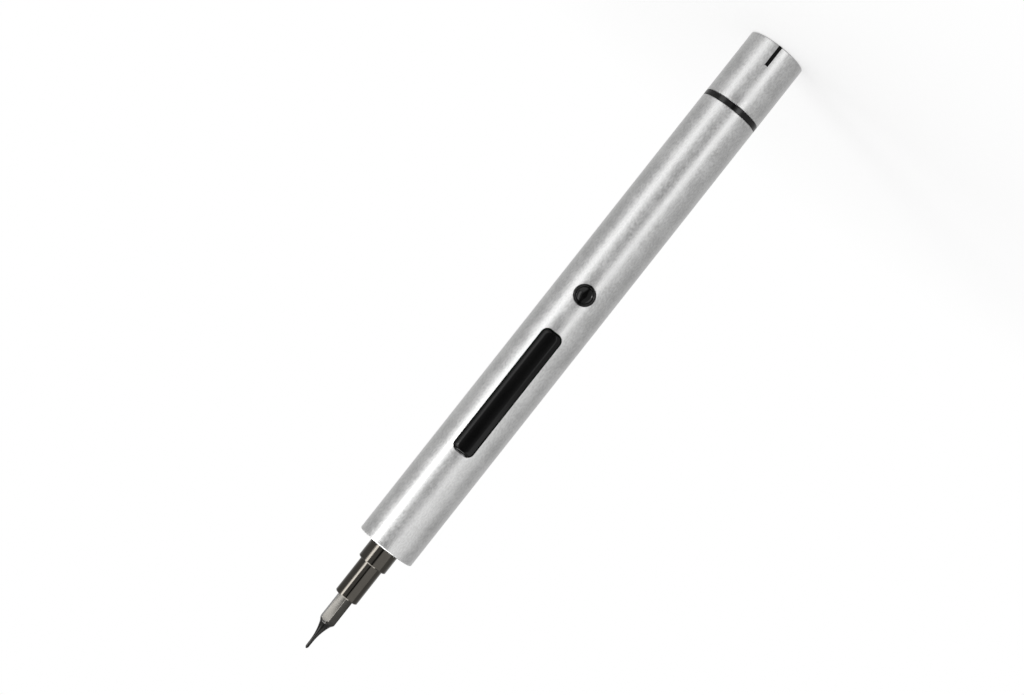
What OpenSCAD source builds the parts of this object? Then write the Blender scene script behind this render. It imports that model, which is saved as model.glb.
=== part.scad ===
// Pen-shaped electric torque screwdriver.
// It stands on its torque dial with the bit pointing up: the long axis is Z, the end face of the
// dial lies on z = 0, and the two buttons face -Y.

/* [Barrel] */
// Outside diameter of the barrel and of the dial
body_d = 16; // [14.4:0.2:18]
// Wall of the barrel tube
wall = 1; // [0.8:0.05:1.05]
// Length of the barrel, seam ring to nose end
barrel_l = 140.1; // [138:0.5:160]
// Width of the lip at the nose end, measured inwards from the bore
lip_w = 0.6; // [0.4:0.05:0.7]
// Thickness of that lip
lip_t = 1.2; // [0.8:0.1:1.6]
// Chamfer on the outer edges of the barrel and the dial
edge = 0.2; // [0.1:0.05:0.4]

/* [Fits] */
// Radial clearance of a part seated in another
seat = 0.05; // [0.03:0.01:0.08]
// Radial clearance of a part that turns or slides
running = 0.05; // [0.03:0.01:0.09]
// End float of a part that turns
float_z = 0.1; // [0.05:0.05:0.2]

/* [Torque dial] */
// Length of the dial
dial_l = 18.5; // [17.5:0.5:24]
// Wall of the dial
dial_wall = 1.05; // [0.9:0.05:1.2]
// Turn of the dial each way from its middle setting, in degrees
dial_turn = 120; // [60:30:150]
// Angle between two settings, in degrees
dial_step = 30; // [20:10:40]
// Thickness of the dial's inner lip, which the end plate traps
dial_lip_t = 1; // [0.8:0.1:1.4]
// Width of the dial's inner lip
dial_lip_w = 0.6; // [0.4:0.1:0.8]
// Width of the black index line
index_w = 1; // [0.6:0.1:1.4]
// Length of the black index line
index_l = 6.1; // [4:0.1:9]
// Depth of the index line's slot
index_depth = 0.35; // [0.25:0.05:0.4]
// Thickness of the black ring between dial and barrel
seam_t = 1.3; // [0.8:0.1:2]
// Diameter of the dial's sensing magnet
dial_magnet_d = 1.9; // [1.5:0.1:2.4]
// Thickness of the dial's sensing magnet
dial_magnet_t = 0.45; // [0.3:0.05:0.5]

/* [Tail end] */
// Depth of the end plate below the dial's rim
plate_recess = 0.3; // [0.2:0.1:0.6]
// Thickness of the end plate
plate_t = 0.8; // [0.7:0.1:1.2]
// Distance of the end plate's screws from the axis
plate_screw_at = 3.6; // [3.4:0.1:4]
// Shank diameter of the end plate's screws
plate_screw_d = 1.2; // [1:0.1:1.4]
// Head diameter of the end plate's screws
plate_screw_head = 1.9; // [1.7:0.1:2.1]
// Length of the end plate's screws
plate_screw_l = 3.8; // [3:0.1:4.2]
// Width of the charging socket's shell
usb_w = 8.94; // [8.9:0.02:9]
// Height of the charging socket's shell
usb_h = 3.26; // [3.2:0.02:3.3]
// Depth of the charging socket
usb_l = 7.4; // [7:0.1:8]
// Sheet thickness of the charging socket's shell
usb_sheet = 0.3; // [0.25:0.05:0.35]
// Gap between the charging board and the leads beside it
lead_gap = 0.35; // [0.25:0.05:0.5]
// Diameter of the detent ball
ball_d = 1.6; // [1.4:0.1:1.8]
// Wire diameter of the detent spring
spring_wire = 0.24; // [0.16:0.02:0.3]
// Turns of the detent spring
spring_turns = 4; // [3:1:6]

/* [Buttons] */
// Distance from the nose end to the middle of the long button
rocker_at = 49.6; // [46:0.2:52]
// Length of the long button
rocker_l = 38; // [34:0.5:40]
// Width of the long button
rocker_w = 5.4; // [5:0.1:5.6]
// Width of the long button's flat top
rocker_flat = 3.2; // [2.6:0.1:3.6]
// Corner radius of the long button
rocker_corner = 1.6; // [1:0.1:2.4]
// Height of the long button above the barrel
rocker_rise = 0.35; // [0.2:0.05:0.6]
// Drop of the bevel round the long button's top
rocker_bevel = 0.6; // [0.3:0.05:0.8]
// Thickness of the long button
rocker_t = 1.75; // [1.6:0.05:1.8]
// Gap round the long button
button_gap = 0.3; // [0.2:0.05:0.4]
// Tilt of the long button each way, in degrees
rocker_tilt = 1.2; // [0.8:0.1:1.4]
// Distance of the long button's switches from its middle
rocker_switch_at = 9; // [7:0.2:9.4]
// Diameter of the long button's pivot pin
pivot_d = 0.8; // [0.6:0.05:0.9]
// Distance from the nose end to the round button
power_at = 80.6; // [78:0.2:82]
// Diameter of the round button's black ring
bezel_d = 5.8; // [5.4:0.1:6]
// Wall of that ring
bezel_w = 0.75; // [0.5:0.05:0.9]
// Height of that ring above the barrel
bezel_rise = 0.4; // [0.3:0.05:0.6]
// Depth of the dish in the round button
power_dish = 0.35; // [0.2:0.05:0.45]
// Travel of the round button
power_travel = 0.3; // [0.2:0.05:0.35]

/* [Circuit board] */
// Depth of the main board's front face below the barrel's surface
board_depth = 4.2; // [4.1:0.05:4.4]
// Distance from each long edge of the main board to the frame
board_edge = 0.54; // [0.5:0.02:0.8]
// Thickness of the circuit boards
board_t = 0.8; // [0.6:0.1:1]
// Side of a push switch's body
switch_w = 3.2; // [2.8:0.1:3.6]
// Height of a push switch's body
switch_h = 1.5; // [1.4:0.05:1.55]
// Height of a push switch with its plunger
switch_all_h = 2; // [1.95:0.05:2.05]
// Diameter of a push switch's plunger
plunger_d = 1.6; // [1.2:0.1:2]

/* [Battery and frame] */
// Room between the battery cell and the barrel
cell_room = 1.95; // [1.6:0.05:2.2]
// Length of the battery cell
cell_l = 44; // [40:0.5:45]
// Thickness of the nickel strips
strap_t = 0.15; // [0.1:0.05:0.2]
// Width of the nickel strips
strap_w = 2.4; // [2:0.1:3]
// Wall of the inner frame round the electronics
frame_wall = 0.8; // [0.6:0.05:0.85]
// Thickness of the frame's wall at the tail
bulkhead_t = 1.4; // [1:0.1:2]
// Thickness of the frame's wall between battery and board
partition_t = 4; // [3.4:0.1:4.4]
// Distance from the axis of the plane where the frame's halves meet
split_at = 1; // [0.8:0.1:1.2]
// Diameter of the charging leads
lead_d = 0.9; // [0.7:0.1:1]
// Shank diameter of the frame's screw
frame_screw_d = 1.4; // [1.2:0.1:1.6]

/* [Motor] */
// Room between the motor and the barrel
motor_room = 0.95; // [0.7:0.05:1.2]
// Length of the motor's can
can_l = 19.5; // [18.5:0.5:22]
// Sheet thickness of the motor's can
can_t = 0.6; // [0.5:0.05:0.7]
// Thickness of the motor's rear cap
bell_t = 1.5; // [1.3:0.1:1.8]
// Diameter of the motor shaft
shaft_d = 1; // [0.8:0.1:1.2]
// Thickness of the motor's magnets
magnet_t = 0.8; // [0.7:0.05:1]
// Gap between armature and magnets
air_gap = 0.25; // [0.2:0.05:0.4]
// Length of the armature's iron stack
stack_l = 11; // [9:0.5:12]
// Diameter of the commutator
commutator_d = 2.1; // [1.9:0.1:2.4]
// Thickness of the plate between motor and gearbox
motor_plate_t = 1.2; // [1:0.1:1.6]
// Distance of the motor's screws from the motor's edge
motor_screw_inset = 1.9; // [1.8:0.1:2.2]
// Shank diameter of the motor's screws
motor_screw_d = 1.3; // [1:0.1:1.4]

/* [Gearbox] */
// Wall of the gearbox housing outside the ring gear's roots
ring_wall = 1.175; // [1:0.025:1.3]
// Teeth of each sun gear and planet
small_teeth = 12; // [12:12:12]
// Pressure angle of the teeth, in degrees
pressure_angle = 25; // [24:0.5:26]
// Play between two meshing teeth
tooth_play = 0.06; // [0.05:0.01:0.08]
// Face width of the gears
face_w = 3; // [2.5:0.1:3.2]
// Thickness of the planet carriers
carrier_t = 1.5; // [1.2:0.1:1.8]
// Gap between a planet carrier's edge and the ring gear
carrier_clear = 0.2; // [0.1:0.05:0.5]
// Diameter of the planets' pins
planet_pin_d = 1.2; // [1:0.05:1.3]
// Axial gap between neighbours in the gearbox
stage_gap = 0.2; // [0.15:0.05:0.3]
// Thickness of the gearbox's front wall
housing_top_t = 1.2; // [1:0.1:1.5]

/* [Nose] */
// Diameter of the fixed nose sleeve
sleeve_d = 8.2; // [8:0.1:8.6]
// Length of the nose sleeve in front of the barrel
sleeve_out = 5.7; // [4:0.1:8]
// Diameter of the turning bit holder
holder_d = 6.55; // [6.3:0.05:6.6]
// Length of the bit holder in front of the nose sleeve
holder_out = 10.5; // [8:0.5:14]
// Chamfer on the sleeve and the bit holder
nose_edge = 0.25; // [0.15:0.05:0.35]
// Depth of the bit socket
socket_l = 11.8; // [10:0.2:12]
// Clearance across the flats of the bit socket
socket_clear = 0.1; // [0.06:0.02:0.16]
// Diameter of the magnet in the bit socket
socket_magnet_d = 3.6; // [3:0.1:3.8]
// Length of the magnet in the bit socket
socket_magnet_l = 2; // [1.5:0.1:2.1]
// Diameter of the carrier's output shaft
output_d = 3; // [2.8:0.1:3.1]
// Outside diameter of the ball bearing
bearing_d = 6; // [6:0.1:6.2]
// Width of the ball bearing
bearing_w = 2.5; // [2:0.1:2.6]
// Number of balls in the bearing
bearing_balls_n = 9; // [6:1:10]
// Diameter of a bearing ball
bearing_ball_d = 0.7; // [0.6:0.05:0.75]
// Depth of the front plate below the nose end
front_recess = 0.3; // [0.2:0.05:0.4]
// Thickness of the front plate's flange behind the lip
front_flange_t = 1.6; // [1.2:0.1:1.8]
// Number of lamps in the front plate
lamps = 3; // [2:1:4]
// Wall left on each side of a lamp's lens
lens_wall = 0.4; // [0.35:0.05:0.5]
// Side of a lamp's chip
chip_w = 1; // [0.8:0.1:1.2]
// Height of a lamp's chip
chip_h = 0.5; // [0.4:0.05:0.6]

/* [Bit] */
// Size of the bit's hexagon across the flats
bit_af = 4; // [3.95:0.05:4.05]
// Overall length of the bit
bit_l = 28; // [26:0.5:45]
// Length of the bit's hexagon
bit_hex_l = 19.1; // [17:0.1:20]
// Length of the thin straight tip
bit_tip_l = 1.6; // [1:0.1:2.5]
// Diameter of the tip
bit_tip_d = 0.9; // [0.7:0.05:1.4]
// Diameter where the round neck begins
bit_neck_d = 3.2; // [2.6:0.1:3.6]
// Length of the slope from hexagon to neck
bit_slope_l = 1.1; // [0.8:0.1:1.6]

/* [Hidden] */
$fn = 72;
eps = 0.02;

// Radii, outside in
body_r = body_d / 2;
bore_r = body_r - wall;
inner_r = bore_r - seat;
frame_in_r = inner_r - frame_wall;
cell_r = inner_r - cell_room;
motor_r = inner_r - motor_room;
lip_r = bore_r - lip_w;

// Tail end, from the dial's rim up
plate_z = plate_recess + plate_t;
dial_bore_r = body_r - dial_wall;
core_r = dial_bore_r - running;
dial_lip_z = plate_z + float_z;
core_z = dial_lip_z + dial_lip_t + float_z;
neck_r = dial_bore_r - dial_lip_w - running;
seam_z = dial_l + float_z;
barrel_z = seam_z + seam_t;
core_rise = 0.3;
frame_z = barrel_z + core_rise;

// Charging socket and its board
usb_sink = 0.1;
usb_z = plate_recess + usb_sink;
usb_corner = 1.5;
usb_slot_clear = 0.12;
tongue_w = 6.7;
tongue_t = 0.7;
tongue_back = 0.8;
charge_board_y = usb_h / 2;
board_end_gap = 0.6;
core_floor_t = 0.6;
charge_board_z = core_z + board_end_gap;
core_floor_z = seam_z - core_floor_t;
charge_board_l = core_floor_z - board_end_gap - charge_board_z;
lead_r = lead_d / 2;
lead_at = frame_in_r - lead_r - 2 * seat;
charge_board_w = 2 * (lead_at - lead_r - lead_gap);
charge_chip_w = 3;
charge_chip_l = 2.8;
charge_chip_z = usb_z + usb_l + board_end_gap;
sensor_w = 1.4;
sensor_l = 2;
sensor_at = 2.7;
chip_t = 0.9;
pocket_gap = 0.2;
pocket_w = charge_board_w + 2 * pocket_gap;
pocket_front = usb_h / 2 + pocket_gap;

// Detent: the ball runs in a groove of the dial's bore
detent_up = 3.9;
detent_z = core_z + detent_up;
ball_r = ball_d / 2;
groove_play = 0.05;
groove_depth = 0.4;
ball_at = dial_bore_r + groove_depth - groove_play - ball_r;
dimple_extra = 0.08;
core_web = 1.15;
spring_from = charge_board_y + board_t + core_web;
spring_len = ball_at - ball_r - spring_from - eps;
spring_r = ball_r - spring_wire;
magnet_down = 5.5;
magnet_z = seam_z - magnet_down;

// Battery and frame
cell_z = frame_z + bulkhead_t + strap_t;
cell_nub = 0.6;
cell_end_z = cell_z + cell_l + strap_t;
cell_play = 0.3;
partition_z = cell_end_z + cell_play;
cavity_z = partition_z + partition_t;
frame_screw_z = partition_z + partition_t / 2;
frame_screw_head_d = 2.4;
frame_screw_head_at = 5.6;
frame_screw_head_t = 0.8;
frame_screw_tip = 3.4;
screw_room = 0.3;
lead_in = 4;
lead_low_z = charge_board_z + charge_board_l - lead_in;
lead_high_z = cavity_z + lead_in - board_end_gap;
lead_bend = 1.5;
pad_in = 0.5;
strap_at = cell_r + seat;
strap_rise = 2;

// Nose, from the barrel's end back
nose_z = barrel_z + barrel_l;
sleeve_r = sleeve_d / 2;
sleeve_step = 0.2;
spigot_step = 0.7;
sleeve_neck_r = sleeve_r - sleeve_step;
spigot_r = sleeve_r - spigot_step;
holder_r = holder_d / 2;
sleeve_z1 = nose_z + sleeve_out;
holder_z1 = sleeve_z1 + holder_out;
socket_z = holder_z1 - socket_l;
front_top_z = nose_z - front_recess;
front_z = nose_z - lip_t - front_flange_t;
led_board_top = front_z - chip_h;
led_board_z = led_board_top - board_t;
lens_at = (sleeve_r + lip_r) / 2;
lens_d = lip_r - sleeve_r - 2 * lens_wall;
housing_z1 = led_board_z;
shoulder_w = 0.6;
shoulder_r = bearing_d / 2 - shoulder_w;
shoulder_l = 1.5;
bearing_z = housing_z1 + shoulder_l;
bearing_mid_z = bearing_z + bearing_w / 2;
bearing_z1 = bearing_z + bearing_w;
race_t = 0.5;
race_clear = 0.03;
output_web = 0.5;
shaft_top_z = socket_z - socket_magnet_l - output_web;

// Gearbox: two planetary stages in one ring gear
ring_teeth = 3 * small_teeth;
root_depth = 1.25;
gear_module = (inner_r - ring_wall) / (ring_teeth / 2 + root_depth);
gear_r = gear_module * small_teeth / 2;
ring_r = gear_module * ring_teeth / 2;
planet_at = 2 * gear_r;
dedendum = root_depth * gear_module;
carrier_r = ring_r - gear_module - carrier_clear;
flank_steps = 5;
planets = 3;
planet_phase = 180 - 180 / small_teeth;
carrier2_z1 = housing_z1 - housing_top_t - stage_gap;
carrier2_z = carrier2_z1 - carrier_t;
stage2_z = carrier2_z - stage_gap - face_w;
carrier1_z1 = stage2_z - stage_gap;
carrier1_z = carrier1_z1 - carrier_t;
stage1_z = carrier1_z - stage_gap - face_w;
plate_top_z = stage1_z - stage_gap;
motor_z1 = plate_top_z - motor_plate_t;
planet_pin_r = planet_pin_d / 2;
output_r = output_d / 2;
bearing_pitch_r = (output_r + bearing_d / 2) / 2;

// Motor
can_z = motor_z1 - can_l;
motor_z = can_z - bell_t;
can_in_r = motor_r - can_t;
can_top_t = 0.8;
end_bearing_t = 0.4;
shaft_r = shaft_d / 2;
bush_wall = 1.2;
bush_rim = 0.6;
bush_r = shaft_r + bush_wall;
bush_flange_r = bush_r + bush_rim;
bush_flange_t = 0.7;
bush_up = 0.8;
shaft_z = motor_z + end_bearing_t + float_z;
commutator_r = commutator_d / 2;
commutator_up = 0.6;
stack_up = 4.4;
commutator_z = can_z + commutator_up;
commutator_l = 2;
stack_z = can_z + stack_up;
coil_over = 0.6;
magnet_r1 = can_in_r - seat;
magnet_r = magnet_r1 - magnet_t;
armature_d = 2 * (magnet_r - air_gap);
magnet_over = 1.2;
magnet_gap_angle = 30;
arm_w = 1.3;
core_ir = 1.7;
shoe_t = 0.9;
shoe_angle = 100;
poles = 3;
brush_w = 1.2;
brush_t = 0.3;
brush_x = 2;
brush_tab = 1.4;
carbon_edge = 0.4;
bell_plug = 0.5;
coil_clear = 0.15;
motor_screw_at = motor_r - motor_screw_inset;
motor_screw_head_r = 1.1;
motor_screw_head_t = 0.6;
motor_screw_in = 0.6;
motor_grip = 2.5;
frame_end_z = can_z + motor_grip;

// Buttons and boards: distances from the axis towards the front
rocker_z = nose_z - rocker_at;
power_z = nose_z - power_at;
rocker_top = body_r + rocker_rise;
rocker_under = rocker_top - rocker_t;
board_front = body_r - board_depth;
board_back = board_front - board_t;
board_w = 2 * (sqrt(frame_in_r * frame_in_r - board_front * board_front) - board_edge);
switch_top = board_front + switch_h;
plunger_top = board_front + switch_all_h;
nub_gap = 0.25;
nub_w = 1.6;
pivot_r = pivot_d / 2;
lug_w = 3.2;
lug_l = 2;
lug_under = 0.7;
ear_w = 1.7;
ear_l = 2.6;
ear_root = 0.7;
slot_extra = 0.3;
pin_extra = 0.2;
pivot_back = 0.2;
board_start_gap = 0.2;
bezel_r = bezel_d / 2;
power_r = bezel_r - bezel_w - running;
power_sink = 0.1;
power_rim = 0.5;
power_top = body_r + bezel_rise - power_sink;
power_flange_r = power_r + power_rim;
power_flange_t = 0.4;
power_flange_top = plunger_top + power_flange_t;
bezel_in = power_flange_top + float_z / 2;
plunger_r = plunger_d / 2;
plunger_in = 0.3;
plunger_pocket = 0.7;
board_z = cavity_z + board_start_gap;
board_end_z = motor_z - board_end_gap - board_start_gap;
controller_w = 5;
coil_w = 4;
coil_t = 1.8;
driver_w = 3;
driver_gap = 1.2;
chip_pitch = 8;
capacitor_d = 4.4;
capacitor_l = 4.5;
pivot_front = plunger_top - pivot_back;
rail_w = 1.6;
rail_z = lead_high_z + 2;

// Bit
bit_r = bit_af / 2 / cos(30);
hex_turn = 20;
bit_z = socket_z;
bit_edge = 0.35;
neck_points = 10;

// ---- shapes used by several pieces ----

// Solid of revolution between two heights
module disc(r, z0, z1) {
    translate([0, 0, z0]) cylinder(r = r, h = z1 - z0);
}

// Tube between two heights
module tube(ro, ri, z0, z1) {
    difference() {
        disc(ro, z0, z1);
        disc(ri, z0 - eps, z1 + eps);
    }
}

// Disc with both outer edges chamfered
module edged_disc(r, z0, z1, c) {
    rotate_extrude()
        polygon([[0, z0], [r - c, z0], [r, z0 + c], [r, z1 - c], [r - c, z1], [0, z1]]);
}

// Box centred on x, from y0 to y1 and z0 to z1
module slab(w, y0, y1, z0, z1) {
    translate([-w / 2, y0, z0]) cube([w, y1 - y0, z1 - z0]);
}

// Local z points to the front (-Y), local y points up
module to_front(z, x = 0) {
    translate([x, 0, z]) rotate([90, 0, 0]) children();
}

// Local z points to the back (+Y)
module to_back(z) {
    translate([0, 0, z]) rotate([-90, 0, 0]) children();
}

// Local z points along +X
module to_side(z, y = 0) {
    translate([0, y, z]) rotate([0, 90, 0]) children();
}

// Rectangle with round corners, centred
module round_rect(w, l, r) {
    square([w - 2 * r, l], center = true);
    square([w, l - 2 * r], center = true);
    for (sx = [-1, 1], sy = [-1, 1])
        translate([sx * (w / 2 - r), sy * (l / 2 - r)]) circle(r = r);
}

// Half space in front of the frame's parting plane, as a box
module front_half() {
    translate([-body_r, -2 * body_r - split_at, 0])
        cube([body_d, 2 * body_r, holder_z1]);
}

// Wire that runs through a list of points
module wire(points, d) {
    for (i = [0 : len(points) - 2])
        hull() {
            translate(points[i]) sphere(d = d, $fn = 14);
            translate(points[i + 1]) sphere(d = d, $fn = 14);
        }
}

// Closed coil: a round wire swept along a helix that starts on +X and climbs along Z
function coil_point(r, h, turns, sides, i, j, n, wr) =
    let(a = 360 * turns * i / n, b = 360 * j / sides, rr = r + wr * cos(b))
    [rr * cos(a), rr * sin(a), wr + (h - 2 * wr) * i / n + wr * sin(b)];

module coil(r, h, turns, wr) {
    sides = 8;
    n = 20 * turns;
    points = [for (i = [0 : n], j = [0 : sides - 1]) coil_point(r, h, turns, sides, i, j, n, wr)];
    walls = [for (i = [0 : n - 1], j = [0 : sides - 1])
        let(k = (j + 1) % sides)
        [i * sides + j, (i + 1) * sides + j, (i + 1) * sides + k, i * sides + k]];
    first = [for (j = [0 : sides - 1]) j];
    last = [for (j = [sides - 1 : -1 : 0]) n * sides + j];
    polyhedron(points, concat([first, last], walls), convexity = 6);
}

// ---- involute teeth ----

function inv(a) = tan(a) * 180 / PI - a;

// Half angle that a tooth fills at radius r
function tooth_half(r, teeth, grow) =
    let(rp = gear_module * teeth / 2, rb = rp * cos(pressure_angle))
    90 / teeth + grow / rp * 180 / PI + inv(pressure_angle) - (r > rb ? inv(acos(rb / r)) : 0);

function polar(r, a) = [r * cos(a), r * sin(a)];

function tooth_points(teeth, r0, r1, grow) =
    [for (t = [0 : teeth - 1], s = [-1, 1], i = [0 : flank_steps])
        let(k = s < 0 ? i : flank_steps - i, r = r0 + (r1 - r0) * k / flank_steps)
        polar(r, 360 * t / teeth + s * tooth_half(r, teeth, grow))];

module small_gear() {
    linear_extrude(height = face_w)
        polygon(tooth_points(small_teeth, gear_r - dedendum, gear_r + gear_module,
                             -tooth_play / 4));
}

module planet(z, k) {
    rotate([0, 0, 360 * k / planets])
        translate([planet_at, 0, z])
            difference() {
                rotate([0, 0, planet_phase]) small_gear();
                disc(planet_pin_r + running, -eps, face_w + eps);
            }
}

module planet_pins(z0, z1) {
    for (k = [0 : planets - 1])
        rotate([0, 0, 360 * k / planets])
            translate([planet_at, 0, 0]) disc(planet_pin_r, z0, z1);
}

// ---- barrel and nose ----

// Aluminium tube with the two button windows and an inward lip at the nose
module barrel() {
    color("lightgray")
        difference() {
            rotate_extrude()
                polygon([[bore_r, barrel_z], [body_r - edge, barrel_z], [body_r, barrel_z + edge],
                         [body_r, nose_z - edge], [body_r - edge, nose_z], [lip_r, nose_z],
                         [lip_r, nose_z - lip_t], [bore_r, nose_z - lip_t]]);
            to_front(rocker_z)
                linear_extrude(height = body_d)
                    round_rect(rocker_w + 2 * button_gap, rocker_l + 2 * button_gap,
                               rocker_corner + button_gap);
            to_front(power_z) cylinder(r = bezel_r + seat, h = body_d);
        }
}

// Black ring that fills the seam between dial and barrel
module seam_ring() {
    color("black") tube(body_r, neck_r + seat, seam_z, barrel_z);
}

// Black plate behind the nose lip, with a hole for each lamp
module front_plate() {
    color("dimgray")
        difference() {
            union() {
                disc(inner_r, front_z, nose_z - lip_t);
                disc(lip_r - seat, front_z, front_top_z);
            }
            disc(sleeve_neck_r + seat, front_z - eps, nose_z);
            lamp_places() disc(lens_d / 2 + seat, front_z - eps, nose_z);
        }
}

module lamp_places() {
    for (k = [0 : lamps - 1])
        rotate([0, 0, 360 * k / lamps + 90]) translate([lens_at, 0, 0]) children();
}

module led_lenses() {
    color("white") lamp_places() disc(lens_d / 2, front_z, front_top_z);
}

module led_chips() {
    color("gold")
        lamp_places()
            translate([-chip_w / 2, -chip_w / 2, led_board_top]) cube([chip_w, chip_w, chip_h]);
}

module led_board() {
    color("darkgreen") tube(inner_r, sleeve_neck_r + seat, led_board_z, led_board_top);
}

// Sleeve that carries the output bearing and stands out of the nose
module nose_sleeve() {
    color("dimgray")
        difference() {
            rotate_extrude()
                polygon([[0, housing_z1 - housing_top_t], [spigot_r, housing_z1 - housing_top_t],
                         [spigot_r, housing_z1], [sleeve_neck_r, housing_z1],
                         [sleeve_neck_r, front_top_z], [sleeve_r, front_top_z],
                         [sleeve_r, sleeve_z1 - nose_edge], [sleeve_r - nose_edge, sleeve_z1],
                         [0, sleeve_z1]]);
            disc(shoulder_r, housing_z1 - housing_top_t - eps, sleeve_z1);
            disc(bearing_d / 2 + seat, bearing_z, sleeve_z1);
            disc(holder_r + running, bearing_z1, sleeve_z1 + eps);
        }
}

module race_groove() {
    rotate_extrude()
        translate([bearing_pitch_r, bearing_mid_z]) circle(r = bearing_ball_d / 2 + race_clear);
}

module bearing_outer() {
    color("silver")
        difference() {
            tube(bearing_d / 2, bearing_d / 2 - race_t, bearing_z, bearing_z1);
            race_groove();
        }
}

module bearing_inner() {
    color("silver")
        difference() {
            tube(output_r + seat / 2 + race_t, output_r + seat / 2, bearing_z, bearing_z1);
            race_groove();
        }
}

module bearing_balls() {
    color("gainsboro")
        for (k = [0 : bearing_balls_n - 1])
            rotate([0, 0, 360 * k / bearing_balls_n])
                translate([bearing_pitch_r, 0, bearing_mid_z]) sphere(d = bearing_ball_d);
}

// ---- gearbox ----

// Housing with the ring gear cut into its bore
module gearbox_housing() {
    color("slategray")
        difference() {
            disc(inner_r, plate_top_z, housing_z1);
            translate([0, 0, plate_top_z - eps])
                rotate([0, 0, 180 / ring_teeth])
                    linear_extrude(height = carrier2_z1 + stage_gap - plate_top_z + eps)
                        polygon(tooth_points(ring_teeth, ring_r - gear_module,
                                             ring_r + dedendum, tooth_play / 4));
            disc(spigot_r + seat, housing_z1 - housing_top_t - eps, housing_z1 + eps);
        }
}

module output_carrier() {
    color("silver")
        union() {
            disc(carrier_r, carrier2_z, carrier2_z1);
            planet_pins(stage2_z - stage_gap / 2, carrier2_z + eps);
            disc(output_r, carrier2_z1 - eps, shaft_top_z - seat);
        }
}

module second_planet_a() {
    color("goldenrod") planet(stage2_z, 0);
}

module second_planet_b() {
    color("goldenrod") planet(stage2_z, 1);
}

module second_planet_c() {
    color("goldenrod") planet(stage2_z, 2);
}

// Carrier of the first stage, with the second stage's sun gear on it
module first_carrier() {
    color("silver")
        union() {
            disc(carrier_r, carrier1_z, carrier1_z1);
            planet_pins(stage1_z - stage_gap / 2, carrier1_z + eps);
            disc(gear_r - dedendum, carrier1_z1 - eps, stage2_z + eps);
            translate([0, 0, stage2_z]) small_gear();
        }
}

module first_planet_a() {
    color("goldenrod") planet(stage1_z, 0);
}

module first_planet_b() {
    color("goldenrod") planet(stage1_z, 1);
}

module first_planet_c() {
    color("goldenrod") planet(stage1_z, 2);
}

// Plate that closes the gearbox and carries the motor
module motor_plate() {
    color("gray")
        difference() {
            disc(inner_r, motor_z1, plate_top_z);
            disc(bush_r + seat, motor_z1 - eps, plate_top_z + eps);
            motor_screw_places() motor_screw(seat);
        }
}

module motor_screw_places() {
    for (s = [-1, 1]) translate([s * motor_screw_at, 0, plate_top_z]) children();
}

// Countersunk screw whose head lies flush with z = 0
module motor_screw(grow) {
    r = motor_screw_d / 2 + grow;
    head = motor_screw_head_r + grow;
    deep = motor_plate_t + can_top_t + motor_screw_in;
    rotate_extrude()
        polygon([[0, grow], [head, grow], [head, 0], [r, -motor_screw_head_t], [r, -deep],
                 [0, -deep]]);
}

module motor_screws() {
    color("silver") motor_screw_places() motor_screw(0);
}

// ---- motor ----

module motor_can() {
    color("silver")
        difference() {
            disc(motor_r, can_z, motor_z1);
            disc(can_in_r, can_z - eps, motor_z1 - can_top_t);
            disc(bush_r + seat, can_z, motor_z1 + eps);
            motor_screw_places() disc(motor_screw_d / 2 + seat, -can_l, eps);
        }
}

// Two arc magnets on the can's wall
module motor_magnets() {
    color("darkslategray")
        for (s = [0, 180])
            rotate([0, 0, s + magnet_gap_angle / 2])
                rotate_extrude(angle = 180 - magnet_gap_angle)
                    translate([magnet_r, stack_z - magnet_over])
                        square([magnet_t, stack_l + 2 * magnet_over]);
}

module motor_bush() {
    color("goldenrod")
        difference() {
            union() {
                disc(bush_r, motor_z1 - can_top_t - eps, motor_z1 + bush_up);
                disc(bush_flange_r, motor_z1 - can_top_t - bush_flange_t, motor_z1 - can_top_t);
            }
            disc(shaft_r + running, can_z, plate_top_z);
        }
}

module motor_end_bell() {
    color("darkslategray")
        difference() {
            union() {
                disc(motor_r, motor_z, can_z);
                disc(can_in_r - seat, can_z - eps, can_z + bell_plug);
            }
            disc(shaft_r + running, shaft_z - float_z, can_z + 2 * bell_plug);
            for (s = [-1, 1])
                translate([s * (brush_x + brush_t / 2), 0, 0])
                    slab(brush_t + 2 * seat, -brush_w / 2 - seat, brush_w / 2 + seat,
                         motor_z - eps, can_z + 2 * bell_plug);
        }
}

// Terminal blades with their carbon blocks on the commutator
module motor_brushes() {
    color("peru")
        for (s = [-1, 1])
            union() {
                translate([s * (brush_x + brush_t / 2), 0, 0])
                    slab(brush_t, -brush_w / 2, brush_w / 2, motor_z - brush_tab,
                         commutator_z + commutator_l);
                translate([s * (commutator_r + running + brush_x + brush_t) / 2, 0, 0])
                    slab(brush_x + brush_t - commutator_r - running, -brush_w / 3, brush_w / 3,
                         commutator_z + carbon_edge, commutator_z + commutator_l - carbon_edge);
            }
}

module motor_leads() {
    z = motor_z - brush_tab / 2;
    x = brush_x + brush_t + lead_r + eps;
    color("firebrick")
        for (s = [-1, 1])
            wire([[s * x, 0, z], [s * x, -board_back / 3, z - 2 * lead_bend],
                  [s * brush_x, -board_back + lead_r + eps, z - 4 * lead_bend]], lead_d);
}

module motor_shaft() {
    color("silver")
        union() {
            disc(shaft_r, shaft_z, stage1_z + eps);
            translate([0, 0, stage1_z]) small_gear();
            disc(commutator_r, commutator_z, commutator_z + commutator_l);
        }
}

// Iron stack with three poles: core, arms and round shoes, less the hole for the shaft
module armature() {
    color("dimgray")
        translate([0, 0, stack_z])
            linear_extrude(height = stack_l)
                difference() {
                    union() {
                        circle(r = core_ir);
                        for (k = [0 : poles - 1]) rotate(360 * k / poles) pole_plan();
                    }
                    circle(r = shaft_r + seat / 2);
                }
}

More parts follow.
